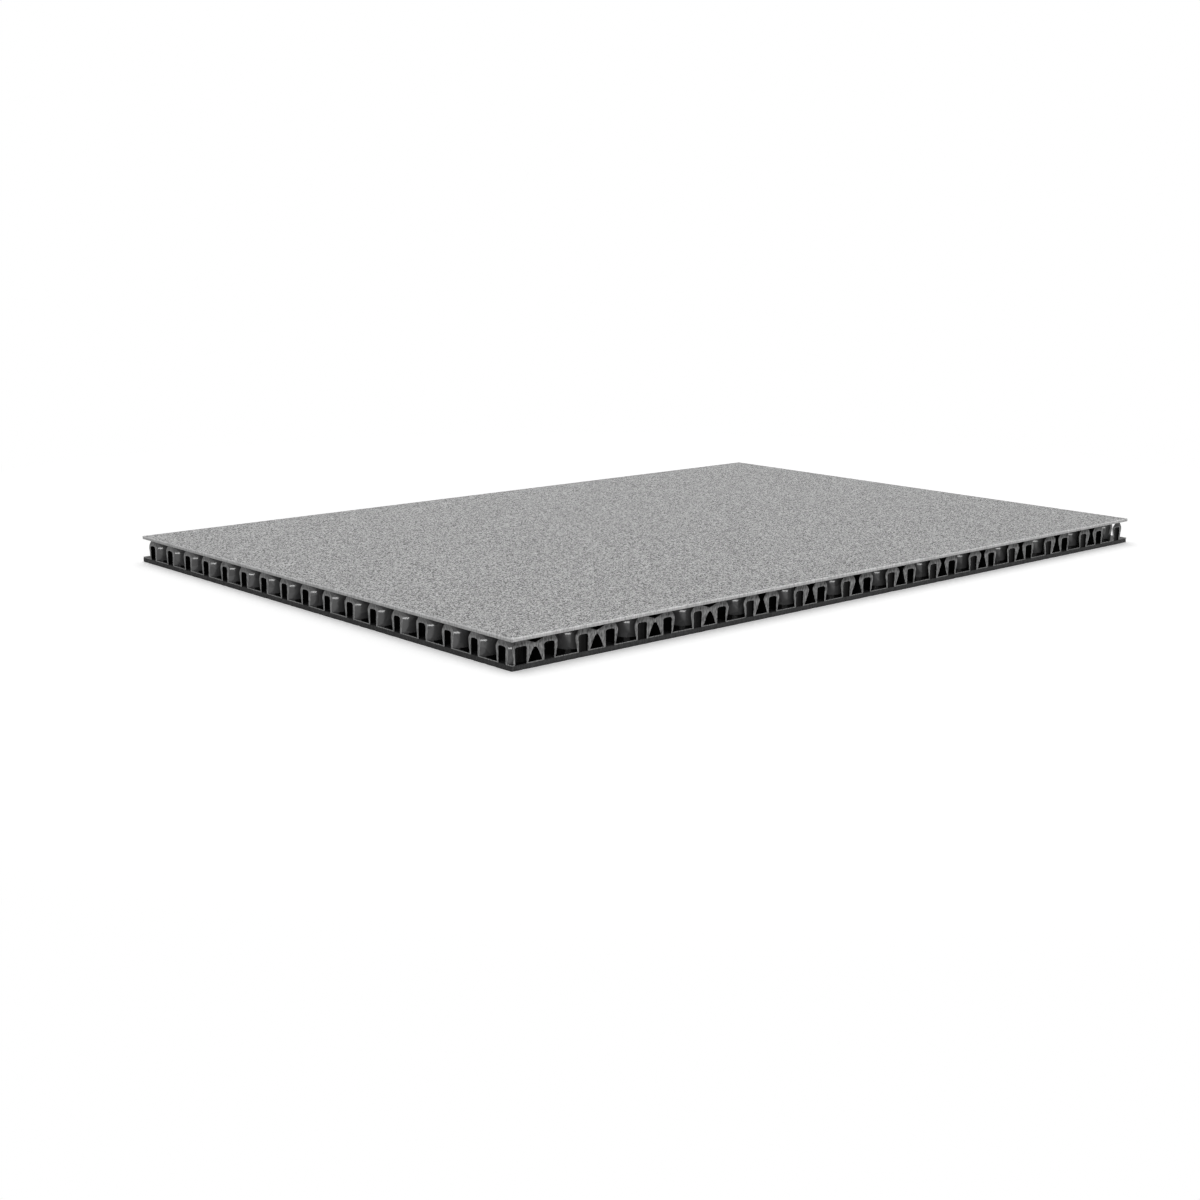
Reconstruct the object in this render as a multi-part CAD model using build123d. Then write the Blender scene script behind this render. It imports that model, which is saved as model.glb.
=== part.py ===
from build123d import *
from math import ceil, cos, floor, pi, sin, sqrt
import os

# A polypropylene sandwich panel: a sheet skin above and below one film that is drawn into round cups.
# Lengths are in millimetres. +X runs along the panel, +Y across it and +Z up through its thickness.
# The origin is the middle of the underside.

# Board
PANEL_LENGTH = 300.0
PANEL_WIDTH = 200.0
TOP_SKIN = 1.1
BOTTOM_SKIN = 1.5

# Film, from the flat web on the bottom skin up to the roofs of the cups
CORE_HEIGHT = 6.5
BASE_FILM = 0.3
CUP_ROOF = 1.5

# Lattice: rows run across the panel and stand in close pairs
CUP_PITCH = 11.5
PAIR_PERIOD = 22.3
FIRST_ROW_INSET = 3.15

# Behind the cup that the front edge cuts, a near row's next cup stands closer than the pitch
FRONT_STEP = 9.6

# The row that the left edge cuts is set out wider, and starts close behind the cup on the near corner
LEFT_ROW_PITCH = 11.8
LEFT_ROW_START = 4.15

# One cup, by mean radii: narrow at the foot, widest at the shoulder, then rounded in to a flat crown
FOOT_RADIUS = 3.6
SHOULDER_RADIUS = 4.15
CROWN_RADIUS = 3.35
SHOULDER_DROP = 1.5
FOOT_WALL = 0.25
SHOULDER_WALL = 0.75

# Film that stayed between the two cups of a pair at the front edge: a web at first, then two lips
WEB_COUNT = 4
WEB_TOP_DROP = 1.1
WEB_THICKNESS = 1.2
LIP_REACH = 1.1
LINK_DEPTH = 2.5

# Cups that the panel's edges cut are the rounder ones, and the closed field behind them is plainer
EDGE_SIDES = 6
FIELD_SIDES = 4

PAIR_SPACING = CUP_PITCH * sqrt(3) / 2
ROW_STAGGER = CUP_PITCH / 2
FRONT_OFFSET = CUP_PITCH / 4
CORE_FLOOR = BOTTOM_SKIN
CORE_TOP = CORE_FLOOR + CORE_HEIGHT
SHOULDER_Z = CORE_TOP - SHOULDER_DROP
BORE_TOP = CORE_TOP - CUP_ROOF
LEFT_EDGE = -PANEL_LENGTH / 2
FRONT_EDGE = -PANEL_WIDTH / 2


def outline(height, floor_z):
    """A block of the panel's outline, standing on floor_z."""
    return Pos(0, 0, floor_z) * extrude(Rectangle(PANEL_LENGTH, PANEL_WIDTH), height)


def ring(sides, mean_radius, z):
    """Corners of a regular polygon with the area of a circle of mean_radius, flats facing the edges."""
    step = 2 * pi / sides
    corner_radius = mean_radius * sqrt(step / sin(step))
    angles = [step * (i + 0.5) for i in range(sides)]
    return [Vector(corner_radius * cos(a), corner_radius * sin(a), z) for a in angles]


def turned_form(sides, levels):
    """A closed form whose polygon changes radius with height; levels are (z, mean radius)."""
    rings = [ring(sides, radius, z) for z, radius in levels]
    faces = [Face(Wire.make_polygon(rings[0])), Face(Wire.make_polygon(rings[-1]))]
    for low, high in zip(rings, rings[1:]):
        for i in range(sides):
            j = (i + 1) % sides
            faces.append(Face(Wire.make_polygon([low[i], low[j], high[j], high[i]])))
    return Solid(Shell(faces))


def cup_outside(sides, shouldered):
    """Outside of a cup, from inside the base film up to its crown."""
    foot_z = CORE_FLOOR + BASE_FILM / 2
    foot = (foot_z, FOOT_RADIUS)
    if shouldered:
        return turned_form(sides, [foot, (SHOULDER_Z, SHOULDER_RADIUS), (CORE_TOP, CROWN_RADIUS)])
    return turned_form(sides, [foot, (CORE_TOP, (SHOULDER_RADIUS + CROWN_RADIUS) / 2)])


def cup_bore(sides):
    """Hollow of a cup, open through the base film."""
    below = CORE_FLOOR - BASE_FILM
    return turned_form(
        sides, [(below, FOOT_RADIUS - FOOT_WALL), (BORE_TOP, SHOULDER_RADIUS - SHOULDER_WALL)]
    )


def row_places():
    """Each row as (x, offset of its first cup from the front edge)."""
    rows = []
    count = ceil((PANEL_LENGTH - FIRST_ROW_INSET) / PAIR_PERIOD)
    for pair in range(count + 1):
        near_x = LEFT_EDGE + FIRST_ROW_INSET + pair * PAIR_PERIOD
        rows.append((near_x, -FRONT_OFFSET))
        rows.append((near_x + PAIR_SPACING, ROW_STAGGER - FRONT_OFFSET))
    return [(x, offset) for x, offset in rows if x < PANEL_LENGTH / 2]


def row_cups(x, start, pitch):
    """Centres of a row's cups, from start behind the front edge to the last whose crown is in the panel."""
    count = floor((PANEL_WIDTH + CROWN_RADIUS - start) / pitch)
    return [(x, FRONT_EDGE + start + i * pitch) for i in range(count + 1)]


def cup_places():
    """Centres of all cups whose crown reaches into the panel."""
    (left_x, corner_offset), *other_rows = row_places()
    places = [(left_x, FRONT_EDGE + corner_offset)] + row_cups(left_x, LEFT_ROW_START, LEFT_ROW_PITCH)
    for x, offset in other_rows:
        if offset < 0:
            places.append((x, FRONT_EDGE + offset))
            places += row_cups(x, offset + FRONT_STEP, CUP_PITCH)
        else:
            places += row_cups(x, offset, CUP_PITCH)
    return places


def is_cut(x, y):
    """Whether an edge of the panel cuts the cup at x, y."""
    inside_x = PANEL_LENGTH / 2 - abs(x)
    inside_y = PANEL_WIDTH / 2 - abs(y)
    return min(inside_x, inside_y) < SHOULDER_RADIUS


def half_chord(radius):
    """Half of the width that the front edge cuts from a cup of this radius."""
    return sqrt(max(radius**2 - FRONT_OFFSET**2, 0))


def front_sheet(points):
    """A piece of film with this outline in X and Z, standing just behind the front edge."""
    face = Face(Wire.make_polygon([Vector(x, FRONT_EDGE, z) for x, z in points]))
    return extrude(face, LINK_DEPTH, dir=(0, 1, 0))


def flank_insets():
    """Where a link joins a cup that the front edge cuts: inside its wall at the foot and the crown."""
    foot_inset = half_chord(FOOT_RADIUS) - FOOT_WALL / 2
    crown_inset = half_chord(CROWN_RADIUS) - SHOULDER_WALL / 2
    return foot_inset, crown_inset


def web_between(left_x, right_x):
    """The bridge of film between two cups of a pair: a notch above it and an arch below."""
    foot_inset, crown_inset = flank_insets()
    foot_z = CORE_FLOOR + BASE_FILM / 2
    web_z = CORE_TOP - WEB_TOP_DROP
    middle = (left_x + right_x) / 2
    outline_points = [
        (left_x + foot_inset, foot_z),
        (left_x + crown_inset, CORE_TOP),
        (middle, web_z),
        (right_x - crown_inset, CORE_TOP),
        (right_x - foot_inset, foot_z),
        (middle, web_z - WEB_THICKNESS),
    ]
    return front_sheet(outline_points)


def lip_on(cup_x, side):
    """The thickened flank that a cup turns to its partner; side is 1 to the right and -1 to the left."""
    foot_inset, crown_inset = flank_insets()
    reach = half_chord(SHOULDER_RADIUS) + LIP_REACH
    outline_points = [
        (cup_x + side * foot_inset, CORE_FLOOR + BASE_FILM / 2),
        (cup_x + side * reach, SHOULDER_Z),
        (cup_x + side * crown_inset, CORE_TOP),
    ]
    return front_sheet(outline_points)


def front_links():
    """Webs and lips between the cups of each pair that the front edge cuts."""
    near_rows = [x for x, offset in row_places() if offset < 0]
    pairs = [(x, x + PAIR_SPACING) for x in near_rows if x + PAIR_SPACING < PANEL_LENGTH / 2]
    webs = [web_between(near_x, far_x) for near_x, far_x in pairs[:WEB_COUNT]]
    lips = [lip for near_x, far_x in pairs[WEB_COUNT:] for lip in (lip_on(near_x, 1), lip_on(far_x, -1))]
    return webs + lips


def make_core():
    """The whole cup film: base film, cups and links joined, hollowed and cut to the panel's outline."""
    places = cup_places()
    cut_places = [place for place in places if is_cut(*place)]
    field_places = [place for place in places if not is_cut(*place)]

    round_cup, round_bore = cup_outside(EDGE_SIDES, True), cup_bore(EDGE_SIDES)
    plain_cup, plain_bore = cup_outside(FIELD_SIDES, False), cup_bore(FIELD_SIDES)
    envelope = outline(CORE_HEIGHT, CORE_FLOOR)
    edge_cups = [Pos(x, y, 0) * round_cup & envelope for x, y in cut_places]
    field_cups = [Pos(x, y, 0) * plain_cup for x, y in field_places]
    links = [link & envelope for link in front_links()]
    bores = [Pos(x, y, 0) * round_bore for x, y in cut_places]
    bores += [Pos(x, y, 0) * plain_bore for x, y in field_places]

    raised = outline(BASE_FILM, CORE_FLOOR).fuse(*edge_cups, *field_cups, *links)
    return raised.cut(*bores)


os.makedirs("parts", exist_ok=True)
nodes = {
    "bottom_skin": outline(BOTTOM_SKIN, 0),
    "cup_core": make_core(),
    "top_skin": outline(TOP_SKIN, CORE_TOP),
}
for name, shape in nodes.items():
    export_step(shape, f"parts/{name}.step")
    print(name, len(shape.solids()), "solids", len(shape.faces()), "faces", round(shape.volume), "mm3")
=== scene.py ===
"""Dresses a polypropylene sandwich panel: two sheet skins over a film that is drawn into round cups.

Lengths are in metres. The panel lies flat, with the middle of its underside at the origin.
"""

from __future__ import annotations

import logging
import math
from dataclasses import dataclass
from enum import Enum
from typing import Callable, Iterable, Sequence

import bmesh
import bpy
from mathutils import Matrix, Vector, noise

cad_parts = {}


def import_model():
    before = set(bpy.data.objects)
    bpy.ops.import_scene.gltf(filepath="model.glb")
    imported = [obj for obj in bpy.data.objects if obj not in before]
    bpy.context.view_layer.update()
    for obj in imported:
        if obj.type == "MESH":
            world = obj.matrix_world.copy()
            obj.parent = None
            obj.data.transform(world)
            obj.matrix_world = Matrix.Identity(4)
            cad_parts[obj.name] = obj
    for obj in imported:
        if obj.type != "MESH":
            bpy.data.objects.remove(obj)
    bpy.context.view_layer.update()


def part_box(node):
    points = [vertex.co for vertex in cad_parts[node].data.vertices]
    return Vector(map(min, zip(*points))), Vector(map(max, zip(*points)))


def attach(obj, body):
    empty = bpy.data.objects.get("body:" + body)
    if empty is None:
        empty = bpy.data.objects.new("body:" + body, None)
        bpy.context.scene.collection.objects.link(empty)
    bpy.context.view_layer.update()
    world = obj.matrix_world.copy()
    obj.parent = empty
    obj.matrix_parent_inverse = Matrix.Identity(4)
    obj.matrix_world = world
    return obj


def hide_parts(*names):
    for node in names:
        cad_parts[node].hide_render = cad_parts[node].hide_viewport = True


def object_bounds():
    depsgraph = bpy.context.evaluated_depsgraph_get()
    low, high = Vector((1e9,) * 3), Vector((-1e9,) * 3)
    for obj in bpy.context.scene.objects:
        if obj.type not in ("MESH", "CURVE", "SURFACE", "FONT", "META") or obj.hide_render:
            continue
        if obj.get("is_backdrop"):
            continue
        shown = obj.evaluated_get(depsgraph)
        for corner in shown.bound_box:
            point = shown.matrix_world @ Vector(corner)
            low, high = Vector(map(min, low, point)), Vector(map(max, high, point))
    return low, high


LOG = logging.getLogger("panel")
MM = 0.001
ROOT_BODY = "root"
BLACK = (0.0, 0.0, 0.0, 1.0)

# Name of the attribute that says how much painted shade each face of the film gets and how matte it is: in
# the bores, on the base and between a pair's cups its colour goes towards black and its gloss goes away
SHADE_AND_MATTE = "dull_film"

# Saw marks are drawn out along Z, and this part of their noise gets the full contrast
SAW_STRETCH = (1.0, 1.0, 0.25)
STREAK_RANGE = (0.36, 0.64)

# The part of the grains' random tone that gets the full contrast, and the density of the coarser relief
GRAIN_TONE_RANGE = (0.2, 0.8)
COARSE_GRAIN_SHARE = 0.45

Point = tuple[float, float]
Rgb = tuple[float, float, float]
Sockets = dict[str, bpy.types.NodeSocket]
SOCKET_KINDS = {
    int: "NodeSocketInt",
    float: "NodeSocketFloat",
    bpy.types.Object: "NodeSocketObject",
    bpy.types.Material: "NodeSocketMaterial",
}


class CupKind(Enum):
    """The kinds of cup: those that the left edge cuts, others near an edge, and the hidden field."""

    LEFT = "Left"
    FINE = "Fine"
    PLAIN = "Plain"

    @property
    def is_round(self) -> bool:
        """Whether the cup is finely rounded."""
        return self is not CupKind.PLAIN


class Graph:
    """Builds one node tree step by step."""

    def __init__(self, tree: bpy.types.NodeTree) -> None:
        """Takes the tree to build in.

        Args:
            tree: the tree that gets the nodes.
        """
        self.tree = tree

    def add(
        self, kind: str, inputs: dict[str | int, object] | None = None, **settings: object
    ) -> bpy.types.Node:
        """Adds a node.

        Args:
            kind: the node's type name.
            inputs: a value or an output socket for each input, by name or number.
            **settings: the node's own properties.

        Returns:
            The new node.
        """
        node = self.tree.nodes.new(kind)
        for name, value in settings.items():
            setattr(node, name, value)
        for key, value in (inputs or {}).items():
            self.feed(node.inputs[key], value)
        return node

    def feed(self, socket: bpy.types.NodeSocket, value: object) -> None:
        """Links an output to a socket, or sets the socket's own value.

        Args:
            socket: the input to fill.
            value: an output socket or a plain value.
        """
        if isinstance(value, bpy.types.NodeSocket):
            self.tree.links.new(value, socket)
        else:
            socket.default_value = value

    def math(self, operation: str, *values: object) -> bpy.types.NodeSocket:
        """Adds a Math node.

        Args:
            operation: the node's operation, such as ADD.
            *values: its inputs in order.

        Returns:
            The result's socket.
        """
        return self.add("ShaderNodeMath", dict(enumerate(values)), operation=operation).outputs[0]

    def blend(self, factor: object, low: object, high: object) -> bpy.types.NodeSocket:
        """Mixes two colours.

        Args:
            factor: how much of the high colour shows.
            low: colour at factor 0.
            high: colour at factor 1.

        Returns:
            The mixed colour's socket.
        """
        node = self.add("ShaderNodeMix", {0: factor, 6: low, 7: high}, data_type="RGBA")
        return node.outputs[2]

    def ramp(
        self, value: object, start: object, end: object, low: object = 0.0, high: object = 1.0
    ) -> bpy.types.NodeSocket:
        """Maps a value from one range to another, and holds it inside.

        Args:
            value: what is mapped.
            start: the value that gives the low result.
            end: the value that gives the high result.
            low: result at the start.
            high: result at the end.

        Returns:
            The result's socket.
        """
        return self.add("ShaderNodeMapRange", {0: value, 1: start, 2: end, 3: low, 4: high}).outputs[0]


def new_group(
    name: str, inputs: dict[str, float], outputs: Sequence[str]
) -> tuple[Graph, Sockets, Sockets]:
    """Makes an empty shader group with number inputs and outputs.

    Args:
        name: the group's name.
        inputs: each input's name and value.
        outputs: each output's name.

    Returns:
        The graph, its input sockets by name, and the output node's sockets by name.
    """
    tree = bpy.data.node_groups.new(name, "ShaderNodeTree")
    for label, value in inputs.items():
        socket = tree.interface.new_socket(label, in_out="INPUT", socket_type="NodeSocketFloat")
        socket.default_value = value
    for label in outputs:
        tree.interface.new_socket(label, in_out="OUTPUT", socket_type="NodeSocketFloat")
    graph = Graph(tree)
    start = graph.add("NodeGroupInput")
    end = graph.add("NodeGroupOutput")
    return graph, {s.name: s for s in start.outputs}, {s.name: s for s in end.inputs}


def cut_edge_group() -> bpy.types.NodeTree:
    """Makes the group that finds what a saw laid bare: the faces on the panel's outline.

    Returns:
        A group with outputs Mask, which is 1 on a cut face, Streak, its saw marks, and Upper, which rises
        to 1 in the upper part of the cut face.
    """
    inputs = {"Half Length": 0.15, "Half Width": 0.1, "Upper Start": 0.0, "Upper End": 0.001}
    inputs |= {"Depth": 0.2 * MM, "Mark Size": 0.4 * MM}
    graph, given, out = new_group("cut_edge", inputs, ["Mask", "Streak", "Upper"])
    place = graph.add("ShaderNodeTexCoord").outputs["Object"]
    axes = graph.add("ShaderNodeSeparateXYZ", {0: place})
    reached = []
    for axis, half in (("X", "Half Length"), ("Y", "Half Width")):
        outward = graph.math("ABSOLUTE", axes.outputs[axis])
        limit = graph.math("SUBTRACT", given[half], given["Depth"])
        reached.append(graph.math("GREATER_THAN", outward, limit))
    graph.feed(out["Mask"], graph.math("MAXIMUM", *reached))
    fineness = graph.math("DIVIDE", 1.0, given["Mark Size"])
    stretched = graph.add("ShaderNodeVectorMath", {0: place, 1: SAW_STRETCH}, operation="MULTIPLY").outputs[0]
    marks = graph.add("ShaderNodeTexNoise", {"Vector": stretched, "Scale": fineness, "Detail": 3.0})
    graph.feed(out["Streak"], graph.ramp(marks.outputs[0], *STREAK_RANGE))
    graph.feed(out["Upper"], graph.ramp(axes.outputs["Z"], given["Upper Start"], given["Upper End"]))
    return graph.tree


def grain_group() -> bpy.types.NodeTree:
    """Makes the group for the skins' embossed grain.

    Returns:
        A group with outputs Height, the relief, and Speck, the tone of each grain.
    """
    graph, given, out = new_group("skin_grain", {"Grain Size": 1.0 * MM}, ["Height", "Speck"])
    place = graph.add("ShaderNodeTexCoord").outputs["Object"]
    density = graph.math("DIVIDE", 1.0, given["Grain Size"])
    fine = graph.add(
        "ShaderNodeTexNoise", {"Vector": place, "Scale": density, "Detail": 3.0, "Roughness": 0.6}
    )
    sparser = graph.math("MULTIPLY", density, COARSE_GRAIN_SHARE)
    coarse = graph.add("ShaderNodeTexNoise", {"Vector": place, "Scale": sparser, "Detail": 1.0})
    graph.feed(out["Height"], graph.math("ADD", fine.outputs[0], coarse.outputs[0]))
    grains = graph.add("ShaderNodeTexVoronoi", {"Vector": place, "Scale": density}).outputs["Color"]
    tone = graph.add("ShaderNodeSeparateColor", {0: grains}).outputs[0]
    graph.feed(out["Speck"], graph.ramp(tone, *GRAIN_TONE_RANGE))
    return graph.tree


@dataclass(frozen=True)
class PlasticFinish:
    """One polypropylene finish: its face as made, and the same plastic where it is cut.

    Attributes:
        name: the material's name.
        face: colour of the lightest grains of the face.
        face_dark: colour of its darkest grains.
        cut: colour of a cut face between the saw marks.
        cut_dark: colour in the saw marks.
        roughness: roughness of the face.
        cut_roughness: roughness of a cut face.
        gloss: how strongly the plastic mirrors.
        grain_size: size of a grain.
        grain_depth: height of the grain's relief.
        cut_depth: how far behind the outline a face still counts as cut.
        upper_drop: height of the band at the top of a cut face that has a tone of its own.
        upper_gain: how much lighter that band is.
        shade_and_matte_loss: the share of its colour and gloss that the most shaded film loses; the lost
            colour is painted shade.
    """

    name: str
    face: Rgb
    face_dark: Rgb
    cut: Rgb
    cut_dark: Rgb
    roughness: float
    cut_roughness: float
    gloss: float
    grain_size: float
    grain_depth: float
    cut_depth: float = 0.3 * MM
    upper_drop: float = 0.5 * MM
    upper_gain: float = 1.0
    shade_and_matte_loss: float = 0.0

    def material(self, outline: Outline) -> bpy.types.Material:
        """Builds the material.

        Args:
            outline: the box of the piece that wears it.

        Returns:
            The material.
        """
        material = bpy.data.materials.new(self.name)
        material.use_nodes = True
        graph = Graph(material.node_tree)
        material.node_tree.nodes.clear()
        reach = {
            "Half Length": outline.half_length,
            "Half Width": outline.half_width,
            "Upper Start": outline.high.z - self.upper_drop,
            "Upper End": outline.high.z - self.upper_drop / 2,
            "Depth": self.cut_depth,
        }
        edge = graph.add("ShaderNodeGroup", reach, node_tree=bpy.data.node_groups["cut_edge"])
        grain = graph.add(
            "ShaderNodeGroup", {"Grain Size": self.grain_size}, node_tree=bpy.data.node_groups["skin_grain"]
        )
        face = graph.blend(grain.outputs["Speck"], (*self.face_dark, 1.0), (*self.face, 1.0))
        # Painted shade: the film's attribute darkens the face towards black and takes away its gloss in the
        # bores, on the base and between a pair's cups
        shade_and_matte_share = graph.add("ShaderNodeAttribute", attribute_name=SHADE_AND_MATTE).outputs["Fac"]
        left = graph.math("SUBTRACT", 1.0, graph.math("MULTIPLY", shade_and_matte_share, self.shade_and_matte_loss))
        face = graph.blend(left, BLACK, face)
        cut = graph.blend(edge.outputs["Streak"], (*self.cut_dark, 1.0), (*self.cut, 1.0))
        gain = graph.ramp(edge.outputs["Upper"], 0.0, 1.0, 1.0, self.upper_gain)
        cut = graph.add("ShaderNodeVectorMath", {0: cut, "Scale": gain}, operation="SCALE").outputs[0]
        colour = graph.blend(edge.outputs["Mask"], face, cut)
        rough = graph.ramp(edge.outputs["Mask"], 0.0, 1.0, self.roughness, self.cut_roughness)
        gloss = graph.math("MULTIPLY", left, self.gloss)
        relief = {"Height": grain.outputs["Height"], "Distance": self.grain_depth, "Strength": 1.0}
        bump = graph.add("ShaderNodeBump", relief).outputs[0]
        surface = {"Base Color": colour, "Roughness": rough, "Specular IOR Level": gloss, "Normal": bump}
        shader = graph.add("ShaderNodeBsdfPrincipled", surface)
        graph.add("ShaderNodeOutputMaterial", {"Surface": shader.outputs[0]})
        return material


GREY_SKIN = PlasticFinish(
    "grey_skin_plastic",
    face=(0.55, 0.55, 0.55),
    face_dark=(0.03, 0.03, 0.03),
    cut=(0.35, 0.35, 0.35),
    cut_dark=(0.2, 0.2, 0.2),
    roughness=0.62,
    cut_roughness=0.8,
    gloss=0.3,
    grain_size=0.34 * MM,
    grain_depth=0.02 * MM,
    upper_drop=0.4 * MM,
    upper_gain=1.65,
)
BLACK_SKIN = PlasticFinish(
    "black_skin_plastic",
    face=(0.026, 0.026, 0.027),
    face_dark=(0.018, 0.018, 0.019),
    cut=(0.026, 0.026, 0.0264),
    cut_dark=(0.01, 0.01, 0.0103),
    roughness=0.55,
    cut_roughness=0.7,
    gloss=0.2,
    grain_size=0.8 * MM,
    grain_depth=0.04 * MM,
    cut_depth=0.45 * MM,
)
BLACK_FILM = PlasticFinish(
    "black_film_plastic",
    face=(0.052, 0.052, 0.0526),
    face_dark=(0.035, 0.035, 0.0355),
    cut=(0.2, 0.2, 0.2),
    cut_dark=(0.05, 0.05, 0.05),
    roughness=0.17,
    cut_roughness=0.65,
    gloss=0.5,
    grain_size=2.5 * MM,
    grain_depth=0.01 * MM,
    cut_depth=0.03 * MM,
    upper_drop=1.6 * MM,
    upper_gain=0.5,
    # Painted shade: the most shaded film keeps only 2% of its colour and gloss
    shade_and_matte_loss=0.98,
)


@dataclass(frozen=True)
class Outline:
    """The box of one CAD node, in metres."""

    low: Vector
    high: Vector

    @classmethod
    def of(cls, node: str) -> Outline:
        """Reads a node's box from the frame.

        Args:
            node: the node's name.

        Returns:
            The box.
        """
        low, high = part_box(node)
        return cls(Vector(low), Vector(high))

    @property
    def half_length(self) -> float:
        """Half of the size along X."""
        return (self.high.x - self.low.x) / 2

    @property
    def half_width(self) -> float:
        """Half of the size along Y."""
        return (self.high.y - self.low.y) / 2


def corners_of(low: Vector, high: Vector) -> list[Point]:
    """Gives the corners of a box seen from above.

    Args:
        low: its lowest corner.
        high: its highest corner.

    Returns:
        X and Y of the four corners, going round from the lowest.
    """
    return [(low.x, low.y), (high.x, low.y), (high.x, high.y), (low.x, high.y)]


def object_from(name: str, mesh: bpy.types.Mesh) -> bpy.types.Object:
    """Puts a mesh into the scene as an object at the origin.

    Args:
        name: the object's name.
        mesh: its mesh.

    Returns:
        The object.
    """
    made = bpy.data.objects.new(name, mesh)
    bpy.context.scene.collection.objects.link(made)
    return made


def mesh_from(name: str, build: Callable[[bmesh.types.BMesh], None]) -> bpy.types.Mesh:
    """Makes a mesh with outward faces.

    Args:
        name: the mesh's name.
        build: adds the geometry to an empty BMesh.

    Returns:
        The mesh.
    """
    work = bmesh.new()
    build(work)
    bmesh.ops.recalc_face_normals(work, faces=work.faces)
    mesh = bpy.data.meshes.new(name)
    work.to_mesh(mesh)
    work.free()
    return mesh


def bridge(work: bmesh.types.BMesh, rings: Sequence[Sequence[Vector]]) -> None:
    """Adds a closed form through a row of rings, with a flat face at each end.

    Args:
        work: the mesh that gets the form.
        rings: closed rings with as many points each, in order.
    """
    loops = [[work.verts.new(point) for point in ring] for ring in rings]
    count = len(loops[0])
    for near, far in zip(loops, loops[1:]):
        for i in range(count):
            j = (i + 1) % count
            work.faces.new((near[i], near[j], far[j], far[i]))
    work.faces.new(loops[0])
    work.faces.new(loops[-1])


def smooth_by_angle(mesh: bpy.types.Mesh, limit: float) -> None:
    """Shades a mesh smooth, with sharp edges where it turns by more than the limit.

    Args:
        mesh: the mesh.
        limit: the angle in radians.
    """
    work = bmesh.new()
    work.from_mesh(mesh)
    for face in work.faces:
        face.smooth = True
    for edge in work.edges:
        edge.smooth = edge.is_manifold and edge.calc_face_angle(0.0) < limit
    work.to_mesh(mesh)
    work.free()


@dataclass
class Skin:
    """One flat sheet whose sawn edge is a little rounded and uneven.

    Attributes:
        node: the CAD node that the sheet stands for.
        slot: name of a material slot; not used.
        finish: its plastic.
        point_spacing: distance between the points of the rim.
        arris: how far the edge's two corners are rounded.
        unevenness: how deep the deepest nick of the edge is.
        nick_spacing: distance from nick to nick.
        face_margin: width of the band along the edge within which the nicks fade out.
        smooth_limit: angle up to which the shading runs over an edge of the mesh.
    """

    node: str
    slot: str
    finish: PlasticFinish
    point_spacing: float = 1.0 * MM
    arris: float = 0.12 * MM
    unevenness: float = 0.14 * MM
    nick_spacing: float = 2.4 * MM
    face_margin: float = 0.8 * MM
    smooth_limit: float = math.radians(50)

    def rim(self, outline: Outline) -> list[tuple[Vector, Vector]]:
        """Walks round the outline.

        Args:
            outline: the node's box.

        Returns:
            Each point of the rim with the way that it faces.
        """
        corners = [Vector((x, y, 0)) for x, y in corners_of(outline.low, outline.high)]
        walk = []
        for corner, following in zip(corners, corners[1:] + corners[:1]):
            along = (following - corner).normalized()
            steps = round((following - corner).length / self.point_spacing)
            outward = Vector((along.y, -along.x, 0))
            before = Vector((-along.x, -along.y, 0))
            walk.append((corner, outward + before))
            walk += [(corner.lerp(following, i / steps), outward) for i in range(1, steps)]
        return walk

    def ring(self, walk: list[tuple[Vector, Vector]], inset: float, z: float) -> list[Vector]:
        """Places one ring of the edge's section.

        Args:
            walk: the rim.
            inset: how far the ring lies inside the outline.
            z: its height.

        Returns:
            The ring's points.
        """
        ring = []
        for point, outward in walk:
            here = Vector((point.x, point.y, z)) / self.nick_spacing
            wear = self.unevenness * max(0.0, noise.noise(here)) if inset < self.face_margin else 0.0
            place = point - outward * (inset + wear)
            ring.append(Vector((place.x, place.y, z)))
        return ring

    def build(self) -> bpy.types.Object:
        """Makes the skin and lets it stand for its node.

        Returns:
            The finished piece.
        """
        outline = Outline.of(self.node)
        walk = self.rim(outline)
        low, high = outline.low.z, outline.high.z
        section = [
            (self.face_margin, low),
            (self.arris, low),
            (0.0, low + self.arris),
            (0.0, (low + high) / 2),
            (0.0, high - self.arris),
            (self.arris, high),
            (self.face_margin, high),
        ]
        rings = [self.ring(walk, inset, z) for inset, z in section]
        mesh = mesh_from(self.node, lambda work: bridge(work, rings))
        smooth_by_angle(mesh, self.smooth_limit)
        mesh.materials.append(self.finish.material(outline))
        piece = object_from(f"{self.node}_sheet", mesh)
        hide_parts(self.node)
        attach(piece, ROOT_BODY)
        return piece


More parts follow.
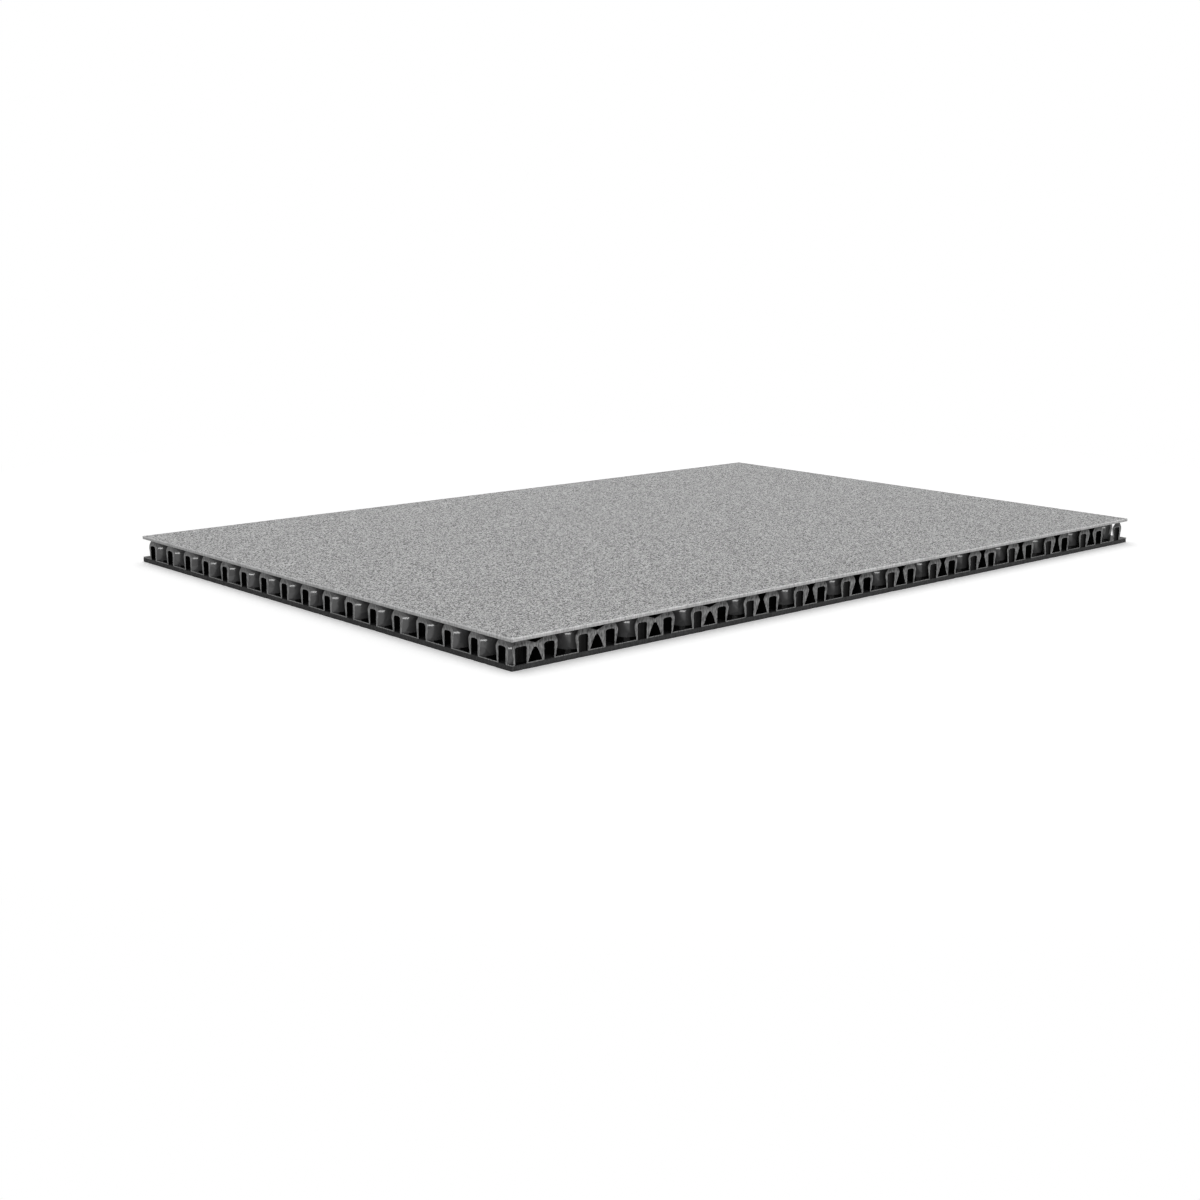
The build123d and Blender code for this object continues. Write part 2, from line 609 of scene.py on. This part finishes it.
@dataclass(frozen=True)
class CupShape:
    """One cup by its radii: narrow at the foot, widest at the shoulder, then rounded in to a flat crown.

    Attributes:
        foot_radius: radius of the outside where it leaves the base film.
        shoulder_radius: largest radius of the outside.
        crown_radius: radius of the flat top.
        shoulder_drop: how far the shoulder lies below the top.
        bend_reach: how far the shoulder's bend reaches up and down the wall.
        bend_steps: rings less one on the bend.
        foot_wall: thickness of the wall at the foot.
        shoulder_wall: thickness of the wall at the shoulder.
        roof_thickness: thickness of the roof.
        roof_corner: size of the rounded corner between bore and roof.
        roof_curve: that corner, as inset and drop in shares of its size.
    """

    foot_radius: float = 3.6 * MM
    shoulder_radius: float = 4.2 * MM
    crown_radius: float = 3.35 * MM
    shoulder_drop: float = 1.75 * MM
    bend_reach: float = 0.9 * MM
    bend_steps: int = 8
    foot_wall: float = 0.25 * MM
    shoulder_wall: float = 0.8 * MM
    roof_thickness: float = 1.5 * MM
    roof_corner: float = 0.4 * MM
    roof_curve: tuple[Point, ...] = ((0.0, 2.0), (0.1, 1.0), (0.4, 0.35), (1.0, 0.0))

    def outside(self, foot_z: float, top: float, is_round: bool) -> list[Point]:
        """Gives the cup's outside from its foot up to the rim of its crown.

        Args:
            foot_z: height of the foot.
            top: height of the crown.
            is_round: whether the cup is one of the finer ones.

        Returns:
            Radius and height of each ring.
        """
        foot = Vector((self.foot_radius, foot_z))
        shoulder = Vector((self.shoulder_radius, top - self.shoulder_drop))
        crown = Vector((self.crown_radius, top))
        if not is_round:
            return [tuple(foot), tuple(shoulder), tuple(crown)]
        below = shoulder + (foot - shoulder).normalized() * self.bend_reach
        above = shoulder + (crown - shoulder).normalized() * self.bend_reach
        bend = []
        for i in range(self.bend_steps + 1):
            share = i / self.bend_steps
            bend.append(below.lerp(shoulder, share).lerp(shoulder.lerp(above, share), share))
        return [tuple(point) for point in [foot, foot.lerp(below, 0.5), *bend, crown]]

    def bore(self, below_z: float, base_top: float, top: float, is_round: bool) -> list[Point]:
        """Gives the cup's hollow from below the film up to the rim of its flat roof.

        Args:
            below_z: height of its open end, under the film.
            base_top: height of the base film's upper face.
            top: height of the cup's crown.
            is_round: whether the cup is one of the finer ones.

        Returns:
            Radius and height of each ring.
        """
        foot = self.foot_radius - self.foot_wall
        top_radius = self.shoulder_radius - self.shoulder_wall
        roof_z = top - self.roof_thickness
        if not is_round:
            return [(foot, below_z), (top_radius, roof_z)]
        corner = self.roof_corner
        rounded = [(top_radius - corner * inset, roof_z - corner * drop) for inset, drop in self.roof_curve]
        return [(foot, below_z), (foot, base_top), *rounded]


class LatticeGraph(Graph):
    """The nodes that set the cups out, join them to the film and hollow them.

    Attributes:
        FIRST_ROW_BAND: rows within this many times the first row's distance from the left edge are left ones.
        BASE_MARGIN: height above the base film up to which a face can belong to it.
        LEVEL_LIMIT: upward part of the normal past which a face counts as level.
    """

    FIRST_ROW_BAND = 1.5
    BASE_MARGIN = 0.05 * MM
    LEVEL_LIMIT = 0.9

    def __init__(self, tree: bpy.types.NodeTree) -> None:
        """Takes the tree to build in, with its inputs declared.

        Args:
            tree: the tree that gets the nodes.
        """
        super().__init__(tree)
        self.given = self.add("NodeGroupInput").outputs
        stands = self.add("GeometryNodeInputPosition").outputs[0]
        self.at = self.add("ShaderNodeSeparateXYZ", {0: stands}).outputs

    def marked(self, geometry: bpy.types.NodeSocket, value: object) -> bpy.types.NodeSocket:
        """Stores on every face how much painted shade it gets and how much gloss it loses.

        Args:
            geometry: the faces.
            value: 0 where they keep their colour and gloss, up to 1 where they get the most painted shade and
                lose their gloss.

        Returns:
            The geometry's socket.
        """
        inputs = {"Geometry": geometry, "Name": SHADE_AND_MATTE, "Value": value}
        return self.add(
            "GeometryNodeStoreNamedAttribute", inputs, data_type="FLOAT", domain="FACE"
        ).outputs[0]

    def solid(self, operation: str, parts: Sequence[bpy.types.NodeSocket]) -> bpy.types.NodeSocket:
        """Unites closed shapes or keeps what they share.

        Args:
            operation: UNION or INTERSECT.
            parts: their sockets.

        Returns:
            The result's socket.
        """
        boolean = self.add("GeometryNodeMeshBoolean", operation=operation, solver="MANIFOLD")
        for part in parts:
            self.feed(boolean.inputs["Mesh 2"], part)
        return boolean.outputs[0]

    def form_of(self, holder: bpy.types.NodeSocket) -> bpy.types.NodeSocket:
        """Gives the geometry of an object.

        Args:
            holder: the socket that names the object.

        Returns:
            The geometry's socket.
        """
        return self.add("GeometryNodeObjectInfo", {"Object": holder}).outputs["Geometry"]

    def points(self) -> bpy.types.NodeSocket:
        """Sets out one point for each cup.

        Returns:
            The points' socket.
        """
        calc, given, at = self.math, self.given, self.at
        index = self.add("GeometryNodeInputIndex").outputs[0]
        row = calc("FLOOR", calc("DIVIDE", calc("ADD", index, 0.5), given["Cups a Row"]))
        column = calc("SUBTRACT", index, calc("MULTIPLY", row, given["Cups a Row"]))
        pair = calc("FLOOR", calc("DIVIDE", calc("ADD", row, 0.5), 2.0))
        is_far = calc("SUBTRACT", row, calc("MULTIPLY", pair, 2.0))
        first_x = calc("SUBTRACT", given["First Row"], given["Half Length"])
        pair_x = calc("MULTIPLY_ADD", pair, given["Pair Period"], first_x)
        x = calc("MULTIPLY_ADD", is_far, given["Pair Spacing"], pair_x)
        first_y = calc("SUBTRACT", calc("MULTIPLY", given["Half Width"], -1.0), given["Front Offset"])
        row_y = calc("MULTIPLY_ADD", is_far, given["Stagger"], first_y)
        is_behind = calc("GREATER_THAN", column, 0.5)
        is_near_behind = calc("MULTIPLY", calc("SUBTRACT", 1.0, is_far), is_behind)
        tightening = calc("SUBTRACT", given["Front Step"], given["Pitch"])
        row_start = calc("MULTIPLY_ADD", is_near_behind, tightening, row_y)
        plain_y = calc("MULTIPLY_ADD", column, given["Pitch"], row_start)
        left_start = calc("SUBTRACT", given["Left Row Start"], given["Half Width"])
        left_y = calc("MULTIPLY_ADD", calc("SUBTRACT", column, 1.0), given["Left Row Pitch"], left_start)
        is_left_row = calc("MULTIPLY", calc("LESS_THAN", row, 0.5), is_behind)
        y = calc("MULTIPLY_ADD", is_left_row, calc("SUBTRACT", left_y, plain_y), plain_y)
        place = self.add("ShaderNodeCombineXYZ", {0: x, 1: y}).outputs[0]
        count = calc("MULTIPLY", given["Rows"], given["Cups a Row"])
        laid = self.add("GeometryNodePoints", {"Count": count, "Position": place}).outputs[0]

        past_x = calc("GREATER_THAN", at["X"], given["Half Length"])
        past_y = calc("GREATER_THAN", at["Y"], calc("ADD", given["Half Width"], given["Reach"]))
        unwanted = {"Geometry": laid, "Selection": calc("MAXIMUM", past_x, past_y)}
        return self.add("GeometryNodeDeleteGeometry", unwanted).outputs[0]

    def choices(self) -> dict[CupKind, bpy.types.NodeSocket]:
        """Tells which points get which kind of cup.

        Returns:
            For each kind, a socket that is 1 on its points.
        """
        calc, given, at = self.math, self.given, self.at
        inside_x = calc("SUBTRACT", given["Half Length"], calc("ABSOLUTE", at["X"]))
        inside_y = calc("SUBTRACT", given["Half Width"], calc("ABSOLUTE", at["Y"]))
        is_near_edge = calc("LESS_THAN", calc("MINIMUM", inside_x, inside_y), given["Fine Band"])
        from_left = calc("ADD", at["X"], given["Half Length"])
        is_left = calc("LESS_THAN", from_left, calc("MULTIPLY", given["First Row"], self.FIRST_ROW_BAND))
        return {
            CupKind.LEFT: is_left,
            CupKind.FINE: calc("MULTIPLY", is_near_edge, calc("SUBTRACT", 1.0, is_left)),
            CupKind.PLAIN: calc("SUBTRACT", 1.0, is_near_edge),
        }

    def sizes(self) -> bpy.types.NodeSocket:
        """Gives each cup a width of its own.

        Returns:
            The scale's socket.
        """
        spread = self.add("FunctionNodeRandomValue", data_type="FLOAT")
        limits = {
            "Min_001": self.math("SUBTRACT", 1.0, self.given["Size Spread"]),
            "Max_001": self.math("ADD", 1.0, self.given["Size Spread"]),
            "Seed": self.given["Seed"],
        }
        for name, value in limits.items():
            self.feed(next(s for s in spread.inputs if s.identifier == name), value)
        width = next(s for s in spread.outputs if s.identifier == "Value_001")
        return self.add("ShaderNodeCombineXYZ", {0: width, 1: width, 2: 1.0}).outputs[0]

    def repeated(self) -> Sockets:
        """Repeats the cups and the bores of every kind on their points.

        Returns:
            The geometry's socket for Cup and for Bore.
        """
        points, chosen, size = self.points(), self.choices(), self.sizes()
        repeats = {}
        # Bores get painted shade and lose their gloss; the cups' outsides keep their colour
        for form, shade_and_matte_level in (("Cup", 0.0), ("Bore", self.given["Bore Dullness"])):
            join = self.add("GeometryNodeJoinGeometry")
            for kind in CupKind:
                shape = self.form_of(self.given[f"{kind.value} {form}"])
                where = {"Points": points, "Selection": chosen[kind], "Instance": shape, "Scale": size}
                copies = self.add("GeometryNodeInstanceOnPoints", where).outputs[0]
                real = self.add("GeometryNodeRealizeInstances", {0: copies}).outputs[0]
                self.feed(join.inputs[0], self.marked(real, shade_and_matte_level))
            repeats[form] = join.outputs[0]
        return repeats

    def shade_and_matte_places(self) -> bpy.types.NodeSocket:
        """Finds the film that gets painted shade and loses its gloss: in the bores, on the base and between a
        pair's cups.

        Returns:
            A socket that says how much painted shade each face gets and how much gloss it loses.
        """
        calc, given, at = self.math, self.given, self.at
        faces = self.add("GeometryNodeInputNormal").outputs[0]
        tilt = self.add("ShaderNodeSeparateXYZ", {0: faces}).outputs["Z"]
        in_bore = self.add("GeometryNodeInputNamedAttribute", {"Name": SHADE_AND_MATTE}, data_type="FLOAT").outputs[0]
        is_low = calc("LESS_THAN", at["Z"], calc("ADD", given["Base Top"], self.BASE_MARGIN))
        on_base = calc("MULTIPLY", is_low, calc("GREATER_THAN", tilt, self.LEVEL_LIMIT))
        from_first = calc("SUBTRACT", calc("ADD", at["X"], given["Half Length"]), given["First Row"])
        in_pair = calc("MODULO", from_first, given["Pair Period"])
        past_near = calc("GREATER_THAN", in_pair, given["Link Inset"])
        before_far = calc("LESS_THAN", in_pair, calc("SUBTRACT", given["Pair Spacing"], given["Link Inset"]))
        from_front = calc("ADD", at["Y"], given["Half Width"])
        is_near = calc("LESS_THAN", from_front, given["Pitch"])
        between = calc("MULTIPLY", calc("MULTIPLY", past_near, before_far), is_near)
        # Painted shade goes into the bores, onto the level base film and into the tunnel between a near
        # pair's cups
        return calc("MAXIMUM", in_bore, calc("MAXIMUM", on_base, between))

    def build(self) -> None:
        """Adds every node and ends the tree."""
        given = self.given
        end = self.add("NodeGroupOutput")
        repeats = self.repeated()
        raised = self.solid("UNION", (given["Film"], repeats["Cup"], self.form_of(given["Links"])))
        operands = {"Mesh 1": raised, "Mesh 2": repeats["Bore"]}
        hollow = self.add(
            "GeometryNodeMeshBoolean", operands, operation="DIFFERENCE", solver="MANIFOLD"
        ).outputs[0]
        sawn = self.solid("INTERSECT", (hollow, self.form_of(given["Envelope"])))
        whole = self.add("GeometryNodeRealizeInstances", {0: sawn}).outputs[0]
        marked = self.marked(whole, self.shade_and_matte_places())
        dressed = self.add("GeometryNodeSetMaterial", {"Geometry": marked, "Material": given["Finish"]})
        self.feed(end.inputs[0], dressed.outputs[0])


def lattice_tree(values: dict[str, object]) -> bpy.types.NodeTree:
    """Makes the tree of the cup lattice.

    Args:
        values: the value of each input by its name.

    Returns:
        The tree.
    """
    tree = bpy.data.node_groups.new("cup_lattice", "GeometryNodeTree")
    tree.interface.new_socket("Film", in_out="INPUT", socket_type="NodeSocketGeometry")
    for label, value in values.items():
        kind = next(name for known, name in SOCKET_KINDS.items() if isinstance(value, known))
        tree.interface.new_socket(label, in_out="INPUT", socket_type=kind)
    tree.interface.new_socket("Film", in_out="OUTPUT", socket_type="NodeSocketGeometry")
    LatticeGraph(tree).build()
    return tree


@dataclass
class CupFilm:
    """One film drawn into rows of cups, with the bits of film that stayed between them.

    Attributes:
        node: the CAD node that the film stands for.
        slot: name of a material slot; not used.
        base_thickness: thickness of the flat film between the cups.
        pitch: distance from cup to cup in a row.
        pair_period: distance from one pair of rows to the next.
        first_row: distance of the first row from the left edge.
        front_step: distance of a near row's second cup from its first.
        left_row_pitch: distance from cup to cup in the first row.
        left_row_start: distance of that row's second cup from the front edge.
        cup: shape of the cups.
        left_cup: shape of the cups in the first row.
        round_segments: sides of a finely rounded cup.
        plain_segments: sides of a cup in the hidden field.
        web_count: pairs, from the left, whose cups a web joins; the others have lips.
        web_top_drop: depth of the notch above a web.
        web_thickness: least height of a web.
        web_foot_reach: how far a web's flank reaches past the cup's foot.
        link_depth: how far webs and lips reach in from the front edge.
        link_root: how far a link reaches into its cup, as a share of the bore's half chord.
        link_steps: steps along a web's notch and arch.
        arch_power: how pointed the arch is.
        link_spread: random change of a lip's reach.
        link_inset: distance from a cup's centre past which a place counts as between the cups of a pair.
        lip_shape: reach from the cup's centre and drop from the top, in millimetres.
        bore_shade_and_matte: how much painted shade the bores get and how much gloss they lose; 1 is the
            most.
        size_spread: random change of a cup's width.
        seed: seed of that change.
        overshoot: how far the shapes reach past the outline before they are sawn.
        smooth_limit: angle up to which the shading runs over an edge of the mesh.
    """

    node: str = "cup_core"
    slot: str = "black_film"
    base_thickness: float = 0.3 * MM
    pitch: float = 11.5 * MM
    pair_period: float = 22.3 * MM
    first_row: float = 3.15 * MM
    front_step: float = 9.6 * MM
    left_row_pitch: float = 11.8 * MM
    left_row_start: float = 4.15 * MM
    cup: CupShape = CupShape()
    left_cup: CupShape = CupShape(foot_radius=3.78 * MM, shoulder_wall=0.65 * MM)
    round_segments: int = 28
    plain_segments: int = 10
    web_count: int = 4
    web_top_drop: float = 1.15 * MM
    web_thickness: float = 1.05 * MM
    web_foot_reach: float = 0.2 * MM
    link_depth: float = 2.5 * MM
    link_root: float = 0.85
    link_steps: int = 16
    arch_power: float = 1.1
    link_spread: float = 0.06
    link_inset: float = 1.0 * MM
    bore_shade_and_matte: float = 0.95
    lip_shape: tuple[Point, ...] = (
        (2.6, 0.0),
        (3.25, 0.35),
        (3.85, 1.15),
        (4.1, 1.8),
        (3.95, 2.4),
        (3.5, 3.5),
        (2.95, 4.8),
        (2.3, 6.35),
    )
    size_spread: float = 0.012
    seed: int = 7
    overshoot: float = 1.0 * MM
    smooth_limit: float = math.radians(38)

    def __post_init__(self) -> None:
        """Works out what follows from the sizes and from the node's box."""
        self.outline = Outline.of(self.node)
        self.pair_spacing = self.pitch * math.sqrt(3) / 2
        self.stagger = self.pitch / 2
        self.front_offset = self.pitch / 4
        self.floor = self.outline.low.z
        self.top = self.outline.high.z
        self.base_top = self.floor + self.base_thickness

    def turned(self, name: str, profile: list[Point], segments: int) -> bpy.types.Object:
        """Turns a profile into a closed round form about the Z axis.

        Args:
            name: the form's name.
            profile: radius and height of each ring.
            segments: points on each ring.

        Returns:
            The form, as an object that the lattice repeats.
        """
        angles = [2 * math.pi * (i + 0.5) / segments for i in range(segments)]
        rings = [[Vector((r * math.cos(a), r * math.sin(a), z)) for a in angles] for r, z in profile]
        return object_from(name, mesh_from(name, lambda work: bridge(work, rings)))

    def front_outline(self, points: Sequence[Point]) -> list[list[Vector]]:
        """Stands an outline in X and Z just behind the front edge.

        Args:
            points: the outline's corners.

        Returns:
            Its near and its far ring.
        """
        near_y = self.outline.low.y - self.overshoot
        far_y = self.outline.low.y + self.link_depth
        return [[Vector((x, y, z)) for x, z in points] for y in (near_y, far_y)]

    def half_chord(self, radius: float) -> float:
        """Gives half of the width that the front edge cuts from a round form.

        Args:
            radius: the form's radius.

        Returns:
            Half of the width.
        """
        return math.sqrt(max(radius**2 - self.front_offset**2, 0.0))

    @property
    def link_inside(self) -> float:
        """How far from a cup's centre the links start."""
        return self.half_chord(self.cup.foot_radius - self.cup.foot_wall) * self.link_root

    def web(self, left_x: float, right_x: float) -> list[Point]:
        """Outlines the bridge of film between two cups: a shallow notch above it and a peaked arch below.

        Args:
            left_x: the left cup's centre.
            right_x: the right cup's centre.

        Returns:
            The outline's points in X and Z.
        """
        inside = self.link_inside
        shares = [i / self.link_steps for i in range(self.link_steps + 1)]
        crown = self.half_chord(self.cup.crown_radius)
        foot = self.half_chord(self.cup.foot_radius) + self.web_foot_reach
        notch_z = self.top - self.web_top_drop
        foot_z = self.floor + self.base_thickness / 2
        peak_z = notch_z - self.web_thickness
        points = [(left_x + inside, self.top)]
        for share in shares:
            dip = 1 - abs(2 * share - 1)
            x = left_x + crown + (right_x - left_x - 2 * crown) * share
            points.append((x, self.top + (notch_z - self.top) * dip))
        points += [(right_x - inside, self.top), (right_x - inside, foot_z)]
        for share in shares:
            rise = math.sin(share * math.pi) ** self.arch_power
            x = right_x - foot - (right_x - left_x - 2 * foot) * share
            points.append((x, foot_z + (peak_z - foot_z) * rise))
        points.append((left_x + inside, foot_z))
        return points

    def lip(self, cup_x: float, side: int) -> list[Point]:
        """Outlines the thick flank that a cup turns to its partner.

        Args:
            cup_x: the cup's centre.
            side: 1 where the partner stands to the right, -1 to the left.

        Returns:
            The outline's points in X and Z.
        """
        inside = self.link_inside
        change = 1 + self.link_spread * noise.noise(Vector((cup_x / self.pitch, side, 0.5)))
        points = [(cup_x + side * inside, self.top)]
        for reach, drop in self.lip_shape:
            points.append((cup_x + side * reach * change * MM, self.top - drop * MM))
        points.append((cup_x + side * inside, points[-1][1]))
        return points

    def links(self) -> bpy.types.Object:
        """Makes the webs and lips between the cups of each pair at the front edge.

        Returns:
            One object that holds them all.
        """
        half_length = self.outline.half_length
        near_rows = []
        x = -half_length + self.first_row
        while x + self.pair_spacing < half_length:
            near_rows.append(x)
            x += self.pair_period
        outlines = [self.web(x, x + self.pair_spacing) for x in near_rows[: self.web_count]]
        for x in near_rows[self.web_count :]:
            outlines += [self.lip(x, 1), self.lip(x + self.pair_spacing, -1)]

        def build(work: bmesh.types.BMesh) -> None:
            """Adds every link.

            Args:
                work: the mesh that gets them.
            """
            for points in outlines:
                bridge(work, self.front_outline(points))

        return object_from("front_links", mesh_from("front_links", build))

    def block(self, name: str, low: Vector, high: Vector) -> bpy.types.Object:
        """Makes a box as an operand of the film's shape.

        Args:
            name: its name.
            low: lowest corner.
            high: highest corner.

        Returns:
            The box.
        """
        rings = [[Vector((x, y, z)) for x, y in corners_of(low, high)] for z in (low.z, high.z)]
        return object_from(name, mesh_from(name, lambda work: bridge(work, rings)))

    def build(self) -> bpy.types.Object:
        """Makes the film and lets it stand for its node.

        Returns:
            The finished piece.
        """
        outline = self.outline
        past = Vector((self.overshoot, self.overshoot, 0))
        film = self.block("film", outline.low - past, Vector((*(outline.high + past).xy, self.base_top)))
        envelope = self.block("envelope", outline.low, outline.high)
        helpers = {"Links": self.links(), "Envelope": envelope}
        rows = 2 * (math.ceil((2 * outline.half_length - self.first_row) / self.pair_period) + 1)
        foot_z = self.floor + self.base_thickness / 2
        below_z = self.floor - self.overshoot
        for kind in CupKind:
            shape = self.left_cup if kind is CupKind.LEFT else self.cup
            segments = self.round_segments if kind.is_round else self.plain_segments
            outside = shape.outside(foot_z, self.top, kind.is_round)
            bore = shape.bore(below_z, self.base_top, self.top, kind.is_round)
            helpers[f"{kind.value} Cup"] = self.turned(f"{kind.name.lower()}_cup", outside, segments)
            helpers[f"{kind.value} Bore"] = self.turned(f"{kind.name.lower()}_bore", bore, segments)
        values = {
            "Pitch": self.pitch,
            "Pair Period": self.pair_period,
            "Pair Spacing": self.pair_spacing,
            "First Row": self.first_row,
            "Front Offset": self.front_offset,
            "Stagger": self.stagger,
            "Front Step": self.front_step,
            "Left Row Pitch": self.left_row_pitch,
            "Left Row Start": self.left_row_start,
            "Half Length": outline.half_length,
            "Half Width": outline.half_width,
            "Reach": self.cup.crown_radius,
            "Fine Band": self.pitch,
            "Size Spread": self.size_spread,
            "Base Top": self.base_top,
            "Link Inset": self.link_inset,
            "Bore Dullness": self.bore_shade_and_matte,
            "Rows": rows,
            "Cups a Row": math.ceil(2 * outline.half_width / self.pitch) + 2,
            "Seed": self.seed,
            "Finish": BLACK_FILM.material(outline),
            **helpers,
        }
        tree = lattice_tree(values)
        modifier = film.modifiers.new("cup_lattice", "NODES")
        modifier.node_group = tree
        for socket in tree.interface.items_tree:
            if socket.in_out == "INPUT" and socket.name in values:
                modifier[socket.identifier] = values[socket.name]
        evaluated = film.evaluated_get(bpy.context.evaluated_depsgraph_get())
        mesh = bpy.data.meshes.new_from_object(evaluated)
        film.modifiers.remove(modifier)
        for helper in [film, *helpers.values()]:
            bpy.data.objects.remove(helper)
        smooth_by_angle(mesh, self.smooth_limit)
        LOG.info("cup film: %d triangles", sum(len(p.vertices) - 2 for p in mesh.polygons))
        piece = object_from("cup_film", mesh)
        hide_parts(self.node)
        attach(piece, ROOT_BODY)
        return piece


@dataclass(frozen=True)
class SoftBox:
    """A flat lamp that looks at a point of the panel."""

    name: str
    place: Vector
    width: float
    height: float
    power: float
    aim: Vector = Vector((0.0, 0.0, 0.005))

    def build(self) -> None:
        """Puts the lamp into the scene."""
        data = bpy.data.lights.new(self.name, "AREA")
        data.shape = "RECTANGLE"
        data.size = self.width
        data.size_y = self.height
        data.energy = self.power
        lamp = bpy.data.objects.new(self.name, data)
        bpy.context.scene.collection.objects.link(lamp)
        lamp.location = self.place
        lamp.rotation_euler = (self.aim - self.place).to_track_quat("-Z", "Y").to_euler()


LAMPS = (
    SoftBox("high_lamp", place=Vector((0.3, 0.6, 1.6)), width=1.4, height=1.4, power=21.0),
    SoftBox("front_lamp", place=Vector((-1.08, -1.38, 0.22)), width=1.8, height=0.4, power=24.0),
    SoftBox("side_lamp", place=Vector((0.45, -1.55, 0.3)), width=1.0, height=0.4, power=6.0),
)


@dataclass
class Studio:
    """Pale floor, soft light and the camera.

    Attributes:
        floor_size: side of the floor.
        ambient: strength of the even light from all round.
        floor_tone: the floor's own tone.
        floor_lift: glow of the floor near the panel, for the camera and reflections only.
        fade_start: distance from the panel's middle where the floor starts to turn plain white.
        fade_end: distance where it is plain white.
        camera_place: the camera's place from the near upper corner, in units of camera_scale.
        camera_scale: length of that unit.
        yaw: the camera's turn about Z, in degrees from +Y towards +X.
        pitch: how far it looks down, in degrees.
        roll: its turn about its own line of sight, in degrees.
        focal_pixels: focal length in pixels of the photograph.
        picture_pixels: side of the photograph in pixels.
        sensor: width of the sensor in millimetres.
        near_clip: distance from which the camera sees.
    """

    floor_size: float = 8.0
    ambient: float = 0.25
    floor_tone: float = 0.88
    floor_lift: float = 0.26
    fade_start: float = 0.2
    fade_end: float = 0.36
    camera_place: Vector = Vector((-0.964835, -1.16840, 0.363049))
    camera_scale: float = 0.3
    yaw: float = 42.4734
    pitch: float = 12.2088
    roll: float = 0.5047
    focal_pixels: float = 1768.3
    picture_pixels: float = 1200.0
    sensor: float = 36.0
    near_clip: float = 0.01

    def floor(self) -> None:
        """Lays the floor under the panel."""
        half = Vector((self.floor_size, self.floor_size)) / 2
        corners = corners_of(-half, half)
        mesh = mesh_from("floor", lambda w: w.faces.new([w.verts.new((x, y, 0.0)) for x, y in corners]))
        material = bpy.data.materials.new("floor_paper")
        material.use_nodes = True
        material.node_tree.nodes.clear()
        graph = Graph(material.node_tree)
        tone = (self.floor_tone, self.floor_tone, self.floor_tone, 1.0)
        paper = graph.add("ShaderNodeBsdfDiffuse", {"Color": tone})
        path = graph.add("ShaderNodeLightPath").outputs
        seen = graph.math("MAXIMUM", path["Is Camera Ray"], path["Is Glossy Ray"])
        lift = graph.add("ShaderNodeEmission", {"Strength": graph.math("MULTIPLY", seen, self.floor_lift)})
        near = graph.add("ShaderNodeAddShader", {0: paper.outputs[0], 1: lift.outputs[0]})
        place = graph.add("ShaderNodeTexCoord").outputs["Object"]
        away = graph.add("ShaderNodeVectorMath", {0: place}, operation="LENGTH").outputs["Value"]
        fade = graph.ramp(away, self.fade_start, self.fade_end)
        white = graph.add("ShaderNodeEmission", {"Strength": 1.0})
        share = graph.math("MULTIPLY", fade, seen)
        both = graph.add("ShaderNodeMixShader", {0: share, 1: near.outputs[0], 2: white.outputs[0]})
        graph.add("ShaderNodeOutputMaterial", {"Surface": both.outputs[0]})
        mesh.materials.append(material)
        object_from("floor", mesh)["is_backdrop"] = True

    def world(self) -> None:
        """Gives even light from all round, with white behind the panel and in its reflections."""
        world = bpy.data.worlds.new("studio")
        bpy.context.scene.world = world
        world.use_nodes = True
        world.node_tree.nodes.clear()
        graph = Graph(world.node_tree)
        path = graph.add("ShaderNodeLightPath").outputs
        shown = graph.math("MAXIMUM", path["Is Camera Ray"], path["Is Glossy Ray"])
        strength = graph.ramp(shown, 0.0, 1.0, self.ambient)
        light = graph.add("ShaderNodeBackground", {"Color": (1.0, 1.0, 1.0, 1.0), "Strength": strength})
        graph.add("ShaderNodeOutputWorld", {"Surface": light.outputs[0]})

    def lamps(self) -> None:
        """Sets the lamps: one wide and high, one low behind the camera and a faint one on its right."""
        for lamp in LAMPS:
            lamp.build()

    def camera(self) -> None:
        """Stands the camera where the photograph was taken from."""
        yaw, pitch, roll = (math.radians(a) for a in (self.yaw, self.pitch, self.roll))
        look = Vector((math.sin(yaw) * math.cos(pitch), math.cos(yaw) * math.cos(pitch), -math.sin(pitch)))
        level = Vector((math.cos(yaw), -math.sin(yaw), 0.0))
        upright = level.cross(look)
        right = level * math.cos(roll) + upright * math.sin(roll)
        up = upright * math.cos(roll) - level * math.sin(roll)
        low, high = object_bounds()
        corner = Vector((low[0], low[1], high[2]))
        data = bpy.data.cameras.new("camera")
        data.sensor_width = self.sensor
        data.lens = self.focal_pixels / self.picture_pixels * self.sensor
        data.clip_start = self.near_clip
        stand = bpy.data.objects.new("camera", data)
        bpy.context.scene.collection.objects.link(stand)
        turn = Matrix((right, up, -look)).transposed().to_4x4()
        stand.matrix_world = Matrix.Translation(corner + self.camera_place * self.camera_scale) @ turn
        bpy.context.scene.camera = stand

    def build(self) -> None:
        """Sets up everything round the panel."""
        bpy.context.scene.view_settings.view_transform = "Standard"
        self.floor()
        self.world()
        self.lamps()
        self.camera()


def main() -> None:
    """Builds the studio and the panel's three pieces."""
    logging.basicConfig(level=logging.INFO, format="%(name)s: %(message)s")
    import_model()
    Studio().build()
    cut_edge_group()
    grain_group()
    pieces = [
        Skin("bottom_skin", "black_skin", BLACK_SKIN, unevenness=0.3 * MM, nick_spacing=1.8 * MM).build(),
        CupFilm().build(),
        Skin("top_skin", "grey_skin", GREY_SKIN).build(),
    ]
    for piece in pieces:
        LOG.info("%s has %d faces", piece.name, len(piece.data.polygons))


if __name__ == "__main__":
    main()
